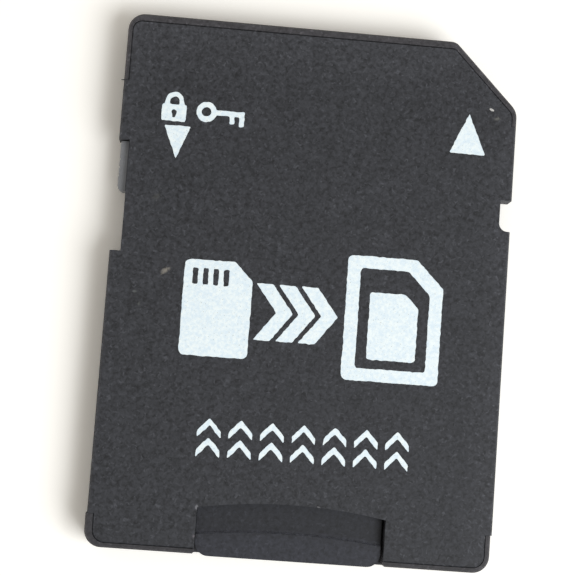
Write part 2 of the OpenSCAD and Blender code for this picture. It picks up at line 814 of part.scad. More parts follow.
// Flat part of the contact i, down to the root of its finger k
module lead(i, k) {
    x0 = pad_x(i);
    x1 = finger_x(k);
    w0 = pad_hw(i);
    w1 = lead_w / 2;
    w2 = finger_w / 2;
    y = pad_y(i) - pad_l - neck_start;
    fan = i == 0 ? corner_fan_front : fan_front;
    pts = [
        [x0 - w0, pad_y(i)], [x0 + w0, pad_y(i)], [x0 + w0, y], [x0 + w1, y - neck_taper],
        [x0 + w1, fan], [x1 + w2, fan_rear], [x1 + w2, finger_root],
        [x1 - w2, finger_root], [x1 - w2, fan_rear], [x0 - w1, fan],
        [x0 - w1, y - neck_taper], [x0 - w0, y]
    ];
    slab(pts, contact_z, contact_z + contact_t);
}

// Spring finger k, which dips into its pocket and rises to the card's pad
module finger(k) {
    z = contact_z + contact_t / 2;
    low = floor_t - finger_room + finger_floor_gap + contact_t / 2;
    crest = card_z - finger_gap - contact_t / 2;
    path = bent(
        [
            [finger_root + finger_lap, z], [finger_root, z], [finger_root - finger_dip_l, low],
            [contact_y, crest], [contact_y - finger_tip_l, crest - finger_tip_drop]
        ],
        finger_r
    );
    side_slab(ribbon(path, contact_t), finger_x(k) - finger_w / 2, finger_w);
}

module contact(i, k) {
    color(gold)
        union() {
            lead(i, k);
            finger(k);
        }
}

// Ground contact: two pads on one finger, joined by a bridge over the leads between them
module contact_ground() {
    x0 = pad_x(ground_front_n);
    x1 = pad_x(ground_rear_n);
    front = pad_y(ground_front_n);
    y = front - pad_l - neck_start;
    w0 = pad_hw(ground_front_n);
    w1 = lead_w / 2;
    low = contact_z + contact_t / 2;
    high = low + bridge_rise;
    foot = bridge_foot;
    crown = foot + bridge_slope_l;
    path = bent(
        [
            [x1 - w1, low], [x1 + foot, low], [x1 + crown, high],
            [x0 - crown, high], [x0 - foot, low], [x0 + w1, low]
        ],
        bridge_r
    );
    pad = [
        [x0 - w0, front], [x0 + w0, front], [x0 + w0, y], [x0 + w1, y - neck_taper],
        [x0 + w1, fan_front], [x0 - w1, fan_front], [x0 - w1, y - neck_taper], [x0 - w0, y]
    ];
    color(gold)
        union() {
            lead(ground_rear_n, ground_rear_n - 1);
            finger(ground_rear_n - 1);
            slab(pad, contact_z, contact_z + contact_t);
            end_slab(ribbon(path, contact_t), fan_front, bridge_w);
        }
}

module all_contacts() {
    for (p = [[0, 0], [1, 1], [2, 2], [4, 3], [5, 4], [7, 6], [8, 7]])
        contact(p[0], p[1]);
    contact_ground();
}

// Moulded bar over the leads, cast round them, which also stops the small card
module contact_carrier() {
    g = carrier_gap;
    window_front = corner_fan_front - carrier_bar;
    window_rear = fan_rear + carrier_bar;
    color([0.12, 0.12, 0.12])
        difference() {
            union() {
                slab(tray_pts(g), contact_z, contact_z + carrier_t);
                slab(
                    [
                        [-slot_hw + g, slot_end + g], [slot_hw - g, slot_end + g],
                        [slot_hw - g, fan_rear], [-slot_hw + g, fan_rear]
                    ],
                    contact_z, slot_top - g
                );
            }
            all_contacts();
            for (side = [-1, 1]) {
                wide = tray_hw - (fan_front - window_front) * (tray_hw - slot_hw) / (fan_front - slot_end);
                slim = slot_hw + (window_rear - slot_end) * (tray_hw - slot_hw) / (fan_front - slot_end);
                pts = [
                    [side * carrier_rib / 2, window_front], [side * (wide - carrier_frame), window_front],
                    [side * (slim - carrier_frame), window_rear], [side * carrier_rib / 2, window_rear]
                ];
                slab(pts, contact_z - over, contact_z + carrier_t + over);
            }
            // Groove that leaves the bridge open from above
            translate([pad_x(ground_rear_n) + bridge_foot, fan_front, contact_z + bridge_rise])
                cube([pad_x(ground_front_n) - pad_x(ground_rear_n) - 2 * bridge_foot, bridge_w, carrier_t]);
        }
}

module card_retainer() {
    color([0.75, 0.75, 0.77])
        slab(ribbon(spring_path(), spring_t), spring_z, spring_z + spring_h);
}

// Moves its children from the slot's middle to the small card's
module in_card() {
    translate([-card_shift, 0, 0])
        children();
}

// Bare chip that stands on the circuit board
module chip(x, y, w, l, t) {
    translate([x, y, card_z + board_t])
        cube([w, l, t]);
}

module memory_chip() {
    chip(-memory_w / 2, card_rear + chip_gap, memory_w, memory_l, memory_t);
}

module controller_chip() {
    x = -(controller_l + card_step) / 2;
    chip(x, card_rear + 2 * chip_gap + memory_l, controller_l, controller_l, controller_t);
}

// Grip lip on the label side, with a sloped front and rounded corners
module card_lip() {
    base = card_z + card_t;
    rear = [[-card_side_x, card_rear], [card_side_x, card_rear]];
    hull() {
        for (level = [[0, base], [lip_slope_l, base + lip_t]]) {
            y = card_rear + lip_l - lip_rise - level[0];
            pts = concat(
                corner([-card_side_x, y], rear[0], rear[1], card_r, corner_n),
                corner(rear[0], rear[1], [card_side_x, y], card_r, corner_n),
                bow(card_w, y, lip_rise)
            );
            slab(pts, base - lip_t / 2, level[1]);
        }
    }
}

module card_body() {
    top = card_z + card_t;
    bevel = [
        [card_front + over, top + over], [card_front + over, top - card_bevel],
        [card_front, top - card_bevel], [card_front - card_bevel, top], [card_front - card_bevel, top + over]
    ];
    color([0.16, 0.16, 0.17])
        in_card()
            difference() {
                union() {
                    slab(card_pts(), card_z + board_t, top);
                    card_lip();
                }
                memory_chip();
                controller_chip();
                side_slab(bevel, -card_w, 2 * card_w);
            }
}

// Block of the small card's pad n, counted from the side that narrows
module card_pad_blank(n) {
    extra = (n == 4 || n == 6) ? supply_pad_extra : 0;
    translate([finger_x(n - 1) - card_pad_w / 2, card_front - card_pad_y - card_pad_l, card_z])
        cube([card_pad_w, card_pad_l + extra, card_pad_t]);
}

module card_pad(n) {
    color(gold)
        in_card()
            card_pad_blank(n);
}

module card_board() {
    color([0.1, 0.2, 0.14])
        in_card()
            difference() {
                slab(card_pts(), card_z, card_z + board_t);
                for (n = [1:card_pad_n])
                    card_pad_blank(n);
            }
}

module card_memory_chip() {
    color(silicon)
        in_card()
            memory_chip();
}

module card_controller_chip() {
    color(silicon)
        in_card()
            controller_chip();
}

bottom_shell();
top_cover();
lock_slider();
contact_carrier();
contact(0, 0);  // contact_data_2
contact(1, 1);  // contact_data_3
contact(2, 2);  // contact_command
contact(4, 3);  // contact_power
contact(5, 4);  // contact_clock
contact_ground();
contact(7, 6);  // contact_data_0
contact(8, 7);  // contact_data_1
card_retainer();
card_body();
card_board();
card_memory_chip();
card_controller_chip();
card_pad(1);  // card_pad_1
card_pad(2);  // card_pad_2
card_pad(3);  // card_pad_3
card_pad(4);  // card_pad_4
card_pad(5);  // card_pad_5
card_pad(6);  // card_pad_6
card_pad(7);  // card_pad_7
card_pad(8);  // card_pad_8
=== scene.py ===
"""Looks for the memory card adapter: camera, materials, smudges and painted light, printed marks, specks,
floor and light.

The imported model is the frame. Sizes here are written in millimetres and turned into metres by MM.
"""
import json
import math
import random

import bmesh
import bpy
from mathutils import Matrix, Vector
from mathutils.geometry import tessellate_polygon


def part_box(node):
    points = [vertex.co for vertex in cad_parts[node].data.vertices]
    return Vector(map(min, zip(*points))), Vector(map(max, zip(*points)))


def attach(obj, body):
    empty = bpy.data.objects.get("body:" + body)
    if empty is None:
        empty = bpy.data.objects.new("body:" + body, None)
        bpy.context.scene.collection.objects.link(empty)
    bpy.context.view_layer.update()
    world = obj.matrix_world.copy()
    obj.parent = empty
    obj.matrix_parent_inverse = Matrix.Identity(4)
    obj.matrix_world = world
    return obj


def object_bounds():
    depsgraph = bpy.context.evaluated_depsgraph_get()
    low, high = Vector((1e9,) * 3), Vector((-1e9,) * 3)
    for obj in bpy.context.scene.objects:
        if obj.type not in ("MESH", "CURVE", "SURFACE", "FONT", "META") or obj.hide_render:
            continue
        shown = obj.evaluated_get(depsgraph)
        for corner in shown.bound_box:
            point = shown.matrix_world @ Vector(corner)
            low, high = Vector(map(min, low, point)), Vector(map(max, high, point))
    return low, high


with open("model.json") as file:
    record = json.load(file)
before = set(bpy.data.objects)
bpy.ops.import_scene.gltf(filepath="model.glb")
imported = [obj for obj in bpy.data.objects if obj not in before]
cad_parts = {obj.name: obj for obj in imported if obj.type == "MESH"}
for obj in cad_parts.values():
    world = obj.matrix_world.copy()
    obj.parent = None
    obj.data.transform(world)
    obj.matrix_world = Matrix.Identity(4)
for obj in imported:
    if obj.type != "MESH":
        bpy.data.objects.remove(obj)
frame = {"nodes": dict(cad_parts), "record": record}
cad_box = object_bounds()

MM = 0.001
TOP = round(cad_box[1][2] / MM, 3)      # height of the label side over the floor
scene = bpy.context.scene


def placed(name, data):
    """A new object in the scene."""
    thing = bpy.data.objects.new(name, data)
    scene.collection.objects.link(thing)
    return thing


# camera: fitted to the four sides of the photographed outline, placed in metres and turned in degrees

camera_data = bpy.data.cameras.new("camera")
camera_data.sensor_width = 36
camera_data.lens = 93.75
camera_data.clip_start = 0.001
camera_data.clip_end = 10
camera = placed("camera", camera_data)
camera.location = (-0.006496, -0.008796, 0.091277)
camera.rotation_euler = [math.radians(angle) for angle in (5.393, -3.798, 4.215)]
scene.camera = camera
scene.view_settings.view_transform = "Standard"


# node helpers

NOISE_SPAN = (0.3, 0.7)     # nearly all of a noise texture's values lie between these


class Nodes:
    """The node tree of a material or of the world, with short calls for the nodes used here."""

    def __init__(self, owner, output="ShaderNodeOutputMaterial"):
        owner.use_nodes = True
        self.owner = owner
        self.tree = owner.node_tree
        self.tree.nodes.clear()
        self.output = self.add(output)

    def add(self, kind, **settings):
        node = self.tree.nodes.new(kind)
        for key, value in settings.items():
            setattr(node, key, value)
        return node

    def link(self, out, to):
        self.tree.links.new(out, to)

    def put(self, socket, value):
        """Links another node's output to the socket, or sets a constant on it."""
        if isinstance(value, bpy.types.NodeSocket):
            self.link(value, socket)
        else:
            socket.default_value = value

    def mapped(self, vector, place=(0, 0, 0), turn=0, scale=(1, 1, 1), kind="POINT"):
        """The vector scaled, turned about Z by degrees and moved, or for TEXTURE the reverse of that."""
        node = self.add("ShaderNodeMapping", vector_type=kind)
        self.link(vector, node.inputs["Vector"])
        node.inputs["Location"].default_value = place
        node.inputs["Rotation"].default_value = (0, 0, math.radians(turn))
        node.inputs["Scale"].default_value = scale
        return node.outputs["Vector"]

    def mm(self, stretch=(1, 1, 1)):
        """Object coordinates in millimetres, with a factor for each axis where a grain has a direction."""
        place = self.add("ShaderNodeTexCoord").outputs["Object"]
        return self.mapped(place, scale=[s / MM for s in stretch])

    def length(self, vector):
        node = self.add("ShaderNodeVectorMath", operation="LENGTH")
        self.link(vector, node.inputs[0])
        return node.outputs["Value"]

    def parts(self, vector):
        """The X, Y and Z of a vector."""
        node = self.add("ShaderNodeSeparateXYZ")
        self.link(vector, node.inputs[0])
        return node.outputs

    def facing(self):
        """The X, Y and Z of the direction that the surface faces."""
        return self.parts(self.add("ShaderNodeNewGeometry").outputs["Normal"])

    def noise(self, vector, scale, detail=3, rough=0.55, distort=0):
        node = self.add("ShaderNodeTexNoise")
        self.link(vector, node.inputs["Vector"])
        node.inputs["Scale"].default_value = scale
        node.inputs["Detail"].default_value = detail
        node.inputs["Roughness"].default_value = rough
        node.inputs["Distortion"].default_value = distort
        return node.outputs["Fac"]

    def cells(self, vector, scale, feature="SMOOTH_F1", spread=1):
        """Voronoi cells: feature is the distance that is measured, spread how unevenly the cells lie."""
        node = self.add("ShaderNodeTexVoronoi", feature=feature)
        self.link(vector, node.inputs["Vector"])
        node.inputs["Scale"].default_value = scale
        node.inputs["Randomness"].default_value = spread
        return node.outputs["Distance"]

    def maths(self, operation, a, b):
        node = self.add("ShaderNodeMath", operation=operation)
        self.put(node.inputs[0], a)
        self.put(node.inputs[1], b)
        return node.outputs["Value"]

    def fit(self, value, low, high, to_low, to_high, smooth=False):
        """The value carried from one range to another, and held at its ends."""
        node = self.add("ShaderNodeMapRange", interpolation_type="SMOOTHSTEP" if smooth else "LINEAR")
        self.link(value, node.inputs["Value"])
        node.inputs["From Min"].default_value = low
        node.inputs["From Max"].default_value = high
        node.inputs["To Min"].default_value = to_low
        node.inputs["To Max"].default_value = to_high
        return node.outputs["Result"]

    def spread(self, noise, to_low, to_high):
        """A noise texture's values, carried to another range."""
        return self.fit(noise, *NOISE_SPAN, to_low, to_high)

    def mix(self, factor, a, b, blend="MIX"):
        node = self.add("ShaderNodeMix", data_type="RGBA", blend_type=blend)
        self.put(node.inputs["Factor"], factor)
        for socket, value in zip([s for s in node.inputs if s.type == "RGBA"], (a, b)):
            self.put(socket, value if isinstance(value, bpy.types.NodeSocket) else (*value, 1))
        return [s for s in node.outputs if s.type == "RGBA"][0]

    def tinted(self, factor, colour, tint):
        """The colour multiplied by a tint, as far as the factor says."""
        return self.mix(factor, colour, self.mix(1.0, colour, tint, "MULTIPLY"))

    def bump(self, height, depth):
        node = self.add("ShaderNodeBump")
        node.inputs["Distance"].default_value = depth * MM
        self.link(height, node.inputs["Height"])
        return node.outputs["Normal"]

    def plain(self, kind, colour):
        """A shader that is one colour."""
        node = self.add(kind)
        node.inputs["Color"].default_value = (*colour, 1)
        return node

    def blend(self, factor, a, b):
        """Mixes two shaders."""
        node = self.add("ShaderNodeMixShader")
        self.link(factor, node.inputs["Fac"])
        self.link(a, node.inputs[1])
        self.link(b, node.inputs[2])
        return node.outputs[0]

    def show(self, shader):
        """Gives the shader to the output, and returns the material or the world."""
        self.link(shader, self.output.inputs["Surface"])
        return self.owner

    def surface(self, **sockets):
        """The principled shader, with sockets given by name: constants are set on it, textures are linked."""
        node = self.add("ShaderNodeBsdfPrincipled")
        for key, value in sockets.items():
            self.put(node.inputs[key.replace("_", " ")], value)
        return self.show(node.outputs["BSDF"])


def material(name):
    return Nodes(bpy.data.materials.new(name))


def scaled(values, k):
    return tuple(value * k for value in values)


# smudges, and pale specks on edges: small, at measured places, as (x, y, half length, half width, turn,
# colour, strength)

SMUDGES_AND_SPECKS = [
    (-8.62, 0.52, 0.36, 0.17, 35, (0.26, 0.24, 0.21), 0.8),
    (-10.31, -0.86, 0.15, 0.12, 0, (0.14, 0.15, 0.15), 0.5),
    (-10.0, -1.56, 0.16, 0.11, 60, (0.14, 0.15, 0.14), 0.4),
    (-9.5, 4.9, 0.3, 0.24, 20, (0.1, 0.1, 0.095), 0.35),
    (10.81, 11.42, 0.24, 0.15, 10, (0.14, 0.14, 0.13), 0.75),
    (7.6, 5.1, 0.14, 0.1, 0, (0.12, 0.13, 0.14), 0.3),
    # pale specks on edges: three on the cut-out over the small card, one on the cover's step near the rear
    # right corner
    (-5.63, -13.3, 0.11, 0.18, 10, (0.2, 0.2, 0.22), 0.8),
    (-5.68, -15.0, 0.09, 0.13, 0, (0.18, 0.16, 0.18), 0.7),
    (1.6, -12.86, 0.17, 0.1, -35, (0.17, 0.17, 0.18), 0.8),
    (11.62, -13.88, 0.1, 0.13, 0, (0.16, 0.16, 0.17), 0.6),
]
SMUDGE_CORE = 0.2       # share of its half length out to which a smudge has its full strength
SMUDGE_END = 1.15       # share at which it has faded out
SMUDGE_RAGGED = 0.3     # how far its edge wanders, as a share too
SMUDGE_DEPTH = 10       # half height, so large that the label side's small steps don't matter


def smudges_and_specks(n, where, colour):
    """The smudges and specks, each an ellipse with a ragged edge."""
    ragged = n.spread(n.noise(where, 7, detail=2), -SMUDGE_RAGGED, SMUDGE_RAGGED)
    for x, y, length, width, turn, tint, strength in SMUDGES_AND_SPECKS:
        ellipse = n.mapped(where, (x, y, TOP), turn, (length, width, SMUDGE_DEPTH), "TEXTURE")
        reach = n.maths("ADD", n.length(ellipse), ragged)
        colour = n.mix(n.fit(reach, SMUDGE_CORE, SMUDGE_END, strength, 0, smooth=True), colour, tint)
    return colour


# painted light on the two large mouldings: each band goes from none to fully painted paler

SIDE_BAND = (9.6, 12.2)         # out from the middle line, on both sides
LEFT_STRETCH = (-9, 4)          # the left side is painted paler from here on, towards the contact end
END_BAND = (11.5, 15.8)         # along the card, towards the contact end
RIGHT_PAINTED_LIGHT = 0.45
LEFT_PAINTED_LIGHT = 0.33
END_PAINTED_LIGHT = 0.62
EDGE_PAINTED_LIGHT_TINT = (1.5, 1.48, 1.46)
# painted light on faces turned away from the lamp
TURNED_AWAY_PAINTED_LIGHT = (1.9, 1.88, 1.85)
LEANING = (0.3, 0.6)            # sideways part of the direction that a face leans, over which painted light on faces turned from the lamp grows from a little to fully


def painted_edge_light(n, where, colour):
    """Both mouldings are painted paler towards their edges as light, most at the end that goes in first."""
    place = n.parts(where)
    right = n.fit(place["X"], *SIDE_BAND, 0, RIGHT_PAINTED_LIGHT, smooth=True)
    left = n.fit(place["X"], *scaled(SIDE_BAND, -1), 0, LEFT_PAINTED_LIGHT, smooth=True)
    left = n.maths("MULTIPLY", left, n.fit(place["Y"], *LEFT_STRETCH, 0, 1, smooth=True))
    end = n.fit(place["Y"], *END_BAND, 0, END_PAINTED_LIGHT, smooth=True)
    # painted light: the bands painted paler towards the edges
    colour = n.tinted(n.maths("ADD", n.maths("ADD", left, right), end), colour, EDGE_PAINTED_LIGHT_TINT)
    # painted light: the bevels and faces turned to -X, away from the lamp, are painted paler to lift their
    # shade
    return n.tinted(n.fit(n.facing()["X"], *scaled(LEANING, -1), 0, 1), colour, TURNED_AWAY_PAINTED_LIGHT)


# the small card's grip lip: its front is an arc, as in the part's source; the lip and the corner before it
# carry painted light

LIP_L = 1.62                    # length at its middle
LIP_RISE = 0.34                 # rise of the arc at its middle
LIP_LEVEL = (1.6, 1.75)         # heights just over the card's face and just under the lip's
card_low, card_high = [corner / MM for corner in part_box("card_body")]
LIP_R = (((card_high.x - card_low.x) / 2) ** 2 + LIP_RISE ** 2) / (2 * LIP_RISE)
LIP_CENTRE = ((card_low.x + card_high.x) / 2, card_low.y + LIP_L - LIP_R)
LIP_LIGHT_BAND = (-0.04, -0.5)        # behind the lip's front, where the painted light grows
LIP_LIGHT_LEAST = 0.4                 # share of the painted light at the lip's front
# the raised lip painted lighter than the card's lower face, which lies deeper in the cut-out's shade
LIP_PAINTED_LIGHT = (1.38, 1.38, 1.43)
# painted light on the lip's front, which faces away from the lamp and lies in shade
LIP_FRONT_PAINTED_LIGHT = (3.6, 3.6, 3.6)
LIP_SHADOW_FILL_BAND = (0.02, 0.26)        # ahead of the lip's front, where the painted light over the lip's cast shadow thins out
LIP_SHADOW_FILL_FALL = 1.8                 # how fast it does
# painted light that cancels the shadow the lip casts on the card's face
LIP_SHADOW_FILL_TINT = (2.8, 2.8, 2.8)


def grip(n, where, colour):
    """The lip is painted paler towards the card's end, as light that the lower face lacks, and painted light
    fills the lip's shadow in the corner in front of it.
    """
    spoke = n.mapped(where, (-LIP_CENTRE[0], -LIP_CENTRE[1], 0), scale=(1, 1, 0))
    ahead = n.maths("SUBTRACT", n.length(spoke), LIP_R)
    on_lip = n.fit(n.parts(where)["Z"], *LIP_LEVEL, 0, 1)
    # painted light on the lip, growing towards the card's end
    painted_lip = n.maths("MULTIPLY", on_lip, n.fit(ahead, *LIP_LIGHT_BAND, LIP_LIGHT_LEAST, 1))
    colour = n.tinted(painted_lip, colour, LIP_PAINTED_LIGHT)
    # painted light over the lip's cast shadow in the corner in front of it, not dust
    dust = n.maths("POWER", n.fit(ahead, *LIP_SHADOW_FILL_BAND, 1, 0), LIP_SHADOW_FILL_FALL)
    colour = n.tinted(n.maths("MULTIPLY", dust, n.maths("SUBTRACT", 1.0, on_lip)), colour, LIP_SHADOW_FILL_TINT)
    # painted light on the lip's front, which faces away from the lamp
    return n.tinted(n.fit(n.facing()["Y"], *LEANING, 0, 1), colour, LIP_FRONT_PAINTED_LIGHT)


# materials: grain is in bumps per mm, depth in mm

GLINT = 2.3     # how much paler the tips of a moulded texture are painted, as glints


def moulded(name, base, grain=7, depth=0.018, mottle=0.55, blotch=0.1, rough=0.6, glints=0.9, marks_and_painted_light=()):
    """Moulded plastic with a spark-eroded texture, and glints painted paler on the tips of its texture.

    Each function in the list changes the colour: smudges, pale specks and painted light.
    """
    n = material(name)
    where = n.mm()
    fine = n.noise(where, grain, detail=3, rough=0.5, distort=0.6)
    broad = n.noise(where, 0.9, detail=3, rough=0.5)
    glint_tips = n.noise(where, grain * 0.95, detail=2, rough=0.5, distort=0.8)
    pits = n.cells(where, grain * 0.8)
    colour = n.mix(n.fit(fine, 0.28, 0.72, 0, 1), scaled(base, 1 - mottle), scaled(base, 1 + mottle))
    colour = n.tinted(n.fit(broad, 0.35, 0.65, 0, 1), colour, (1 + blotch,) * 3)
    # painted glints: the tips of the texture painted paler, standing in for highlights
    colour = n.mix(n.fit(glint_tips, 0.575, 0.75, 0, glints, smooth=True), colour, scaled(base, GLINT))
    for change in marks_and_painted_light:
        colour = change(n, where, colour)
    height = n.maths("ADD", n.maths("MULTIPLY", fine, 0.75), n.maths("MULTIPLY", pits, 0.35))
    return n.surface(Base_Color=colour, Roughness=n.spread(fine, rough - 0.08, rough + 0.08),
                     Specular_IOR_Level=0.33, Normal=n.bump(height, depth))


def metal(name, base, rough, stretch, grain, depth=0.002, dull=0.25, tarnish=(0.5, 0.32, 0.14)):
    """Rolled or plated strip: faint lines along it, a little uneven plating and a few dull spots."""
    n = material(name)
    where = n.mm()
    lines = n.noise(n.mm(stretch), grain, detail=4, rough=0.6)
    cloud = n.noise(where, 1.6, rough=0.5)
    spots = n.noise(where, 5, rough=0.6)
    colour = n.mix(n.spread(cloud, 0, dull), base, tarnish)
    colour = n.mix(n.fit(spots, 0.62, 0.78, 0, dull), colour, scaled(tarnish, 0.6))
    return n.surface(Base_Color=colour, Metallic=1.0, Roughness=n.spread(lines, rough - 0.1, rough + 0.14),
                     Normal=n.bump(lines, depth))


def board_mask():
    """Solder mask over copper: the tracks under it show as slightly raised, paler bands."""
    n = material("board_mask")
    tracks = n.cells(n.mm((1, 0.35, 1)), 0.9, "DISTANCE_TO_EDGE")
    raised = n.fit(tracks, 0.05, 0.09, 1, 0, smooth=True)
    fine = n.noise(n.mm(), 8, rough=0.6)
    colour = n.mix(raised, (0.006, 0.02, 0.012), (0.012, 0.05, 0.026))
    colour = n.mix(n.spread(fine, 0, 0.35), colour, (0.004, 0.012, 0.008))
    height = n.maths("ADD", raised, n.maths("MULTIPLY", fine, 0.12))
    return n.surface(Base_Color=colour, Roughness=n.spread(fine, 0.28, 0.4), Normal=n.bump(height, 0.01))


def silicon():
    """Bare die: dark, mirror-like, with the faint grid of its blocks."""
    n = material("silicon")
    grid = n.cells(n.mm((1, 1, 0)), 1.4, "DISTANCE_TO_EDGE", spread=0.15)
    cloud = n.noise(n.mm(), 3)
    colour = n.mix(n.fit(grid, 0.02, 0.05, 1, 0, smooth=True), (0.09, 0.09, 0.12), (0.2, 0.17, 0.22))
    colour = n.mix(n.spread(cloud, 0, 0.4), colour, (0.06, 0.08, 0.14))
    return n.surface(Base_Color=colour, Metallic=0.6, Roughness=n.spread(cloud, 0.16, 0.3),
                     Normal=n.bump(grid, 0.002))


def printed_ink():
    """Pad-printed ink: it follows the moulded texture, with pinholes where the plastic shows."""
    n = material("printed_ink")
    where = n.mm()
    fine = n.noise(where, 5.5, detail=4, rough=0.62, distort=0.3)
    tiny = n.noise(where, 11, detail=2, rough=0.5)
    body = n.mix(n.fit(fine, 0.38, 0.62, 0, 1), (0.75, 0.87, 0.96), (0.91, 0.985, 1.0))
    holes = n.fit(tiny, 0.64, 0.72, 0, 0.5, smooth=True)
    colour = n.mix(holes, body, (0.2, 0.23, 0.24))
    return n.surface(Base_Color=colour, Roughness=n.spread(fine, 0.5, 0.68), Specular_IOR_Level=0.4,
                     Normal=n.bump(fine, 0.012))


def dust_fibre():
    """A speck of dust: pale, matt and fibrous."""
    n = material("dust")
    fibres = n.noise(n.mm((1, 5, 1)), 6, rough=0.6)
    colour = n.mix(n.spread(fibres, 0, 1), (0.42, 0.41, 0.39), (0.72, 0.71, 0.7))
    return n.surface(Base_Color=colour, Roughness=0.95, Normal=n.bump(fibres, 0.02))


COVER_CHARCOAL = (0.0306, 0.0318, 0.0372)
SHELL_CHARCOAL = (0.0372, 0.036, 0.0405)
CARD_CHARCOAL = (0.0208, 0.0218, 0.0271)
SLIDER_GREY = (0.26, 0.272, 0.298)
CARRIER_BLACK = (0.016, 0.016, 0.017)
GOLD = (0.86, 0.63, 0.3)
STEEL = (0.62, 0.62, 0.63)
STEEL_TARNISH = (0.36, 0.34, 0.33)
GRAIN = 4.6     # bumps per mm on the mouldings that the photograph shows

finishes = {
    "shell_plastic": moulded(
        "shell_plastic", SHELL_CHARCOAL, GRAIN, depth=0.01, mottle=0.36, marks_and_painted_light=[painted_edge_light]),
    "cover_plastic": moulded(
        "cover_plastic", COVER_CHARCOAL, GRAIN, mottle=0.54, marks_and_painted_light=[smudges_and_specks, painted_edge_light]),
    "slider_plastic": moulded(
        "slider_plastic", SLIDER_GREY, grain=9, depth=0.003, mottle=0.07, rough=0.45, glints=0),
    "carrier_plastic": moulded(
        "carrier_plastic", CARRIER_BLACK, depth=0.004, mottle=0.2, rough=0.5, glints=0),
    "card_plastic": moulded(
        "card_plastic", CARD_CHARCOAL, GRAIN, depth=0.006, mottle=0.38, blotch=0.06, rough=0.58,
        glints=0.5, marks_and_painted_light=[grip]),
    "contact_metal": metal("contact_metal", GOLD, rough=0.26, stretch=(1, 0.12, 1), grain=16),
    "card_pad_metal": metal(
        "card_pad_metal", GOLD, rough=0.22, stretch=(1, 0.1, 1), grain=18, depth=0.003, dull=0.18),
    "spring_steel": metal(
        "spring_steel", STEEL, rough=0.3, stretch=(1, 0.06, 1), grain=20, dull=0.2, tarnish=STEEL_TARNISH),
    "card_board_mask": board_mask(),
    "chip_silicon": silicon(),
}
for subpart in frame["record"]["subparts"]:
    node_mesh = frame["nodes"][subpart["node"]].data
    node_mesh.materials.clear()
    node_mesh.materials.append(finishes[subpart["material_slot"]])


# outlines for the printed marks, in millimetres

def turned(x, y, degrees):
    """The point turned counter-clockwise about the origin."""
    c, s = math.cos(math.radians(degrees)), math.sin(math.radians(degrees))
    return x * c - y * s, x * s + y * c


def arc(x, y, r, start, end, steps):
    """Points on a circle from angle start to end, in degrees."""
    angles = [math.radians(start + (end - start) * i / steps) for i in range(steps + 1)]
    return [(x + r * math.cos(angle), y + r * math.sin(angle)) for angle in angles]


def box(x0, y0, x1, y1, r):
    """A rectangle with rounded corners, counter-clockwise."""
    corners = ((x1 - r, y1 - r, 0), (x0 + r, y1 - r, 90), (x0 + r, y0 + r, 180), (x1 - r, y0 + r, 270))
    return [p for x, y, angle in corners for p in arc(x, y, r, angle, angle + 90, steps=5)]


def chevron(x, y, half, rise, t, turn=0):
    """A chevron with its middle at (x, y), t thick along its rise, its tip turned clockwise from +Y."""
    points = [(-half, -rise / 2 - t / 2), (0, rise / 2 - t / 2), (half, -rise / 2 - t / 2),
              (half, -rise / 2 + t / 2), (0, rise / 2 + t / 2), (-half, -rise / 2 + t / 2)]
    return [(x + px, y + py) for px, py in [turned(*point, -turn) for point in points]]


def card_shape(x0, y0, x1, y1, cut, r=0.3):
    """A card's outline with its upper right corner cut off."""
    round_corners = ((x0 + r, y1 - r, 90), (x0 + r, y0 + r, 180), (x1 - r, y0 + r, 270))
    rounds = [p for x, y, angle in round_corners for p in arc(x, y, r, angle, angle + 90, steps=4)]
    return rounds + [(x1, y1 - cut), (x1 - cut, y1)]


# ink

INK_UNDER = 0.002       # how far the ink reaches into the plastic's surface
INK_T = 0.006           # how far it stands proud
INK_STEP = 0.09         # distance between the points along an outline
INK_WANDER = 0.011      # how far an outline strays
WANDER_SUM = 2.4        # width of the sum of three draws, the middle one twice
chance = random.Random(7)
ink = printed_ink()


def spaced(loop, step):
    """The loop with a point about every step, keeping its corners."""
    out = []
    for (ax, ay), (bx, by) in zip(loop, loop[1:] + loop[:1]):
        count = max(1, round(math.hypot(bx - ax, by - ay) / step))
        out += [(ax + (bx - ax) * i / count, ay + (by - ay) * i / count) for i in range(count)]
    return out


def neighbours(items):
    """Each item of a closed loop with the one before and the one after."""
    return zip(items[-1:] + items[:-1], items, items[1:] + items[:1])


def inked(loop):
    """The loop as ink leaves it: its corners a little rounded and its edge uneven."""
    points = spaced(loop, INK_STEP)
    soft = []
    for (px, py), (x, y), (qx, qy) in neighbours(points):
        soft.append(((px + 2 * x + qx) / 4, (py + 2 * y + qy) / 4))
    wander = [chance.gauss(0, 1) for _ in soft]
    out = []
    for ((px, py), (x, y), (qx, qy)), (before, here, after) in zip(neighbours(soft), neighbours(wander)):
        length = math.hypot(qx - px, qy - py) or 1
        shift = INK_WANDER * (before + 2 * here + after) / WANDER_SUM
        out.append((x + (qy - py) / length * shift, y - (qx - px) / length * shift))
    return out


def riding(name, bm, finish):
    """The built mesh as a piece that rides on the adapter."""
    mesh = bpy.data.meshes.new(name)
    bm.to_mesh(mesh)
    bm.free()
    mesh.materials.append(finish)
    piece = placed(name, mesh)
    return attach(piece, "adapter")


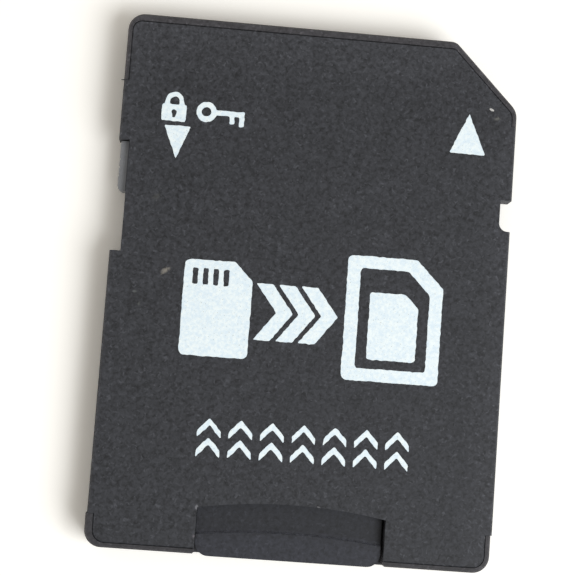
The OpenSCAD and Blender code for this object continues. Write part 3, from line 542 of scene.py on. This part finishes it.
def printed(name, islands):
    """One mesh of thin ink plates: each island is an outline followed by its holes."""
    bm = bmesh.new()
    for island in islands:
        loops = [inked(loop) for loop in island]
        flat = [p for loop in loops for p in loop]
        low = [bm.verts.new((x * MM, y * MM, (TOP - INK_UNDER) * MM)) for x, y in flat]
        high = [bm.verts.new((x * MM, y * MM, (TOP + INK_T) * MM)) for x, y in flat]
        for triangle in tessellate_polygon([[Vector((x, y, 0)) for x, y in loop] for loop in loops]):
            bm.faces.new([high[i] for i in triangle])
            bm.faces.new([low[i] for i in reversed(triangle)])
        first = 0
        for loop in loops:
            ring = range(first, first + len(loop))
            for a, b in zip(ring, [*ring[1:], first]):
                bm.faces.new((low[a], low[b], high[b], high[a]))
            first += len(loop)
    bmesh.ops.recalc_face_normals(bm, faces=bm.faces)
    return riding(name, bm, ink)


# printed marks: measured places on the label side

printed("mark_lock_direction", [[[(-9.36, 9.31), (-8.54, 7.31), (-7.76, 9.31)]]])
printed("mark_insert_direction", [[[(9.07, 11.58), (7.98, 9.11), (10.17, 9.07)]]])


def padlock(x, top):
    """A closed padlock with a keyhole: x is its middle and top the upper edge of its case."""
    case_half = 0.73
    case_h = 1.03
    shackle_y = top + 0.2
    shackle_r = 0.56
    shackle_inner = 0.29
    keyhole_y = top - 0.46
    slot_half = 0.09
    slot_end = keyhole_y - 0.34
    case = box(x - case_half, top - case_h, x + case_half, top, r=0.12)
    first_corner = len(case) // 4
    shackle = arc(x, shackle_y, shackle_r, 0, 180, steps=16)
    opening = arc(x, shackle_y, shackle_inner, 0, 180, steps=10)
    keyhole = arc(x, keyhole_y, 0.17, -60, 240, steps=12)
    return [
        case[:first_corner] + shackle + case[first_corner:],
        [(x + shackle_inner, top)] + opening + [(x - shackle_inner, top)],
        keyhole + [(x - slot_half, slot_end), (x + slot_half, slot_end)],
    ]


def key(x, y):
    """A key with two teeth: (x, y) is the middle of its ring."""
    shank_half = 0.15
    end = 2.3
    bit = [(1.42, -shank_half), (1.42, -0.64), (1.7, -0.64), (1.7, -shank_half),
           (2.0, -shank_half), (2.0, -0.76), (end, -0.76), (end, shank_half)]
    ring = arc(x, y, 0.62, 14, 346, steps=24)
    return [ring + [(x + px, y + py) for px, py in bit], arc(x, y, 0.3, 0, 340, steps=17)]


printed("mark_padlock", [padlock(-8.85, 10.6)])
printed("mark_key", [key(-6.9, 10.3)])

# a small card with its contacts, the direction, and the adapter with the card in it
SLIT_W = 0.32
SLIT_XS = [-6.95 + 0.62 * i for i in range(4)]
slits = [box(x, -0.15, x + SLIT_W, 0.85, r=0.1) for x in SLIT_XS]
printed("mark_small_card", [[card_shape(-7.45, -4.4, -3.35, 1.35, cut=1.1)] + slits])

ARROW_XS = [-1.95 + 1.35 * i for i in range(3)]
arrows = [chevron(x, -1.5, half=1.7, rise=1.3, t=1.0, turn=90) for x in ARROW_XS]
printed("mark_into", [[arrow] for arrow in arrows])

outer = card_shape(2.3, -5.15, 8.13, 2.36, cut=1.65)
window = card_shape(3.1, -4.4, 7.35, 1.62, cut=1.35, r=0.2)
inner = card_shape(3.75, -3.85, 6.7, 0.2, cut=0.8, r=0.2)
printed("mark_adapter", [[outer, window], [inner]])

# a row of small double chevrons towards the contact end
ROW_XS = [-5.25 + 1.87 * i for i in range(7)]
ROW_YS = (-8.6, -9.75)
row = [chevron(x, y, half=0.7, rise=0.75, t=0.42) for x in ROW_XS for y in ROW_YS]
printed("mark_row", [[tip] for tip in row])


# dust, and the flash that the mould left where the side rim ends

FLECK_HALF_T = 0.025
FLECK_WAVE = 0.22       # how far its outline swells, as a share
FLECK_WANDER = 0.12     # and how far each point strays from that


def fleck(name, finish, x, y, z, length, width, turn):
    """An irregular flattened speck."""
    bm = bmesh.new()
    bmesh.ops.create_icosphere(bm, subdivisions=2, radius=1)
    for v in bm.verts:
        wave = math.sin(5.1 * v.co.x + 3.7 * v.co.y)
        k = 1 + FLECK_WAVE * wave + chance.uniform(-FLECK_WANDER, FLECK_WANDER)
        px, py = turned(v.co.x * length / 2 * k, v.co.y * width / 2 * k, turn)
        v.co = ((x + px) * MM, (y + py) * MM, (z + FLECK_HALF_T * v.co.z) * MM)
    return riding(name, bm, finish)


fleck("dust_corner", dust_fibre(), 10.43, 11.94, TOP + 0.02, length=0.3, width=0.14, turn=-20)
flash = fleck("mould_flash", finishes["cover_plastic"], -12.03, 11.86, 1.97, length=0.3, width=0.07, turn=8)


# floor: near the object it shows light and shadow, and further out it fades into the white backdrop

FLOOR_R = 0.6           # metres
FLOOR_DROP = 0.00001    # metres under the object
FLOOR_FADE = (45, 150)  # millimetres from the middle
FLOOR_COLOUR = (0.9, 0.89, 0.87)
FLOOR_LIFT = (0.31, 0.29, 0.262)

floor_mesh = bpy.data.meshes.new("floor")
floor_corners = [(x * FLOOR_R, y * FLOOR_R, -FLOOR_DROP) for x, y in ((-1, -1), (1, -1), (1, 1), (-1, 1))]
floor_mesh.from_pydata(floor_corners, [], [(0, 1, 2, 3)])
floor = placed("floor", floor_mesh)


def backdrop_rays(n):
    """1 for the rays that show the backdrop: camera, glossy and transmission rays."""
    path = n.add("ShaderNodeLightPath")
    either = n.maths("MAXIMUM", path.outputs["Is Camera Ray"], path.outputs["Is Glossy Ray"])
    return n.maths("MAXIMUM", either, path.outputs["Is Transmission Ray"])


def floor_finish():
    """Plain matt floor, lifted for the rays that show the backdrop as a bright studio's floor is."""
    n = material("floor")
    plain = n.plain("ShaderNodeBsdfDiffuse", FLOOR_COLOUR).outputs[0]
    lift = n.plain("ShaderNodeBsdfDiffuse", FLOOR_LIFT).outputs[0]
    lifted = n.add("ShaderNodeAddShader")
    n.link(plain, lifted.inputs[0])
    n.link(lift, lifted.inputs[1])
    white = n.add("ShaderNodeEmission").outputs[0]
    shown = n.blend(n.fit(n.length(n.mm()), *FLOOR_FADE, 0, 1, smooth=True), lifted.outputs[0], white)
    return n.show(n.blend(backdrop_rays(n), plain, shown))


floor_mesh.materials.append(floor_finish())


# world and lamp

SKY_COLOUR = (1, 0.965, 0.9)
SKY_STRENGTH = 0.456

scene.world = bpy.data.worlds.new("world")
n = Nodes(scene.world, "ShaderNodeOutputWorld")
sky = n.plain("ShaderNodeBackground", SKY_COLOUR)
sky.inputs["Strength"].default_value = SKY_STRENGTH
white = n.plain("ShaderNodeBackground", (1, 1, 1))
camera_rays = n.add("ShaderNodeLightPath").outputs["Is Camera Ray"]
n.show(n.blend(camera_rays, sky.outputs[0], white.outputs[0]))

lamp_data = bpy.data.lights.new("key", "AREA")
lamp_data.shape = "RECTANGLE"
lamp_data.size = 0.217
lamp_data.size_y = 0.193
lamp_data.energy = 0.82
lamp_data.color = (0.95, 0.98, 1)
lamp = placed("key", lamp_data)
lamp.location = (0.1812, -0.1145, 0.2099)
lamp.rotation_euler = Vector(lamp.location).to_track_quat("Z", "Y").to_euler()
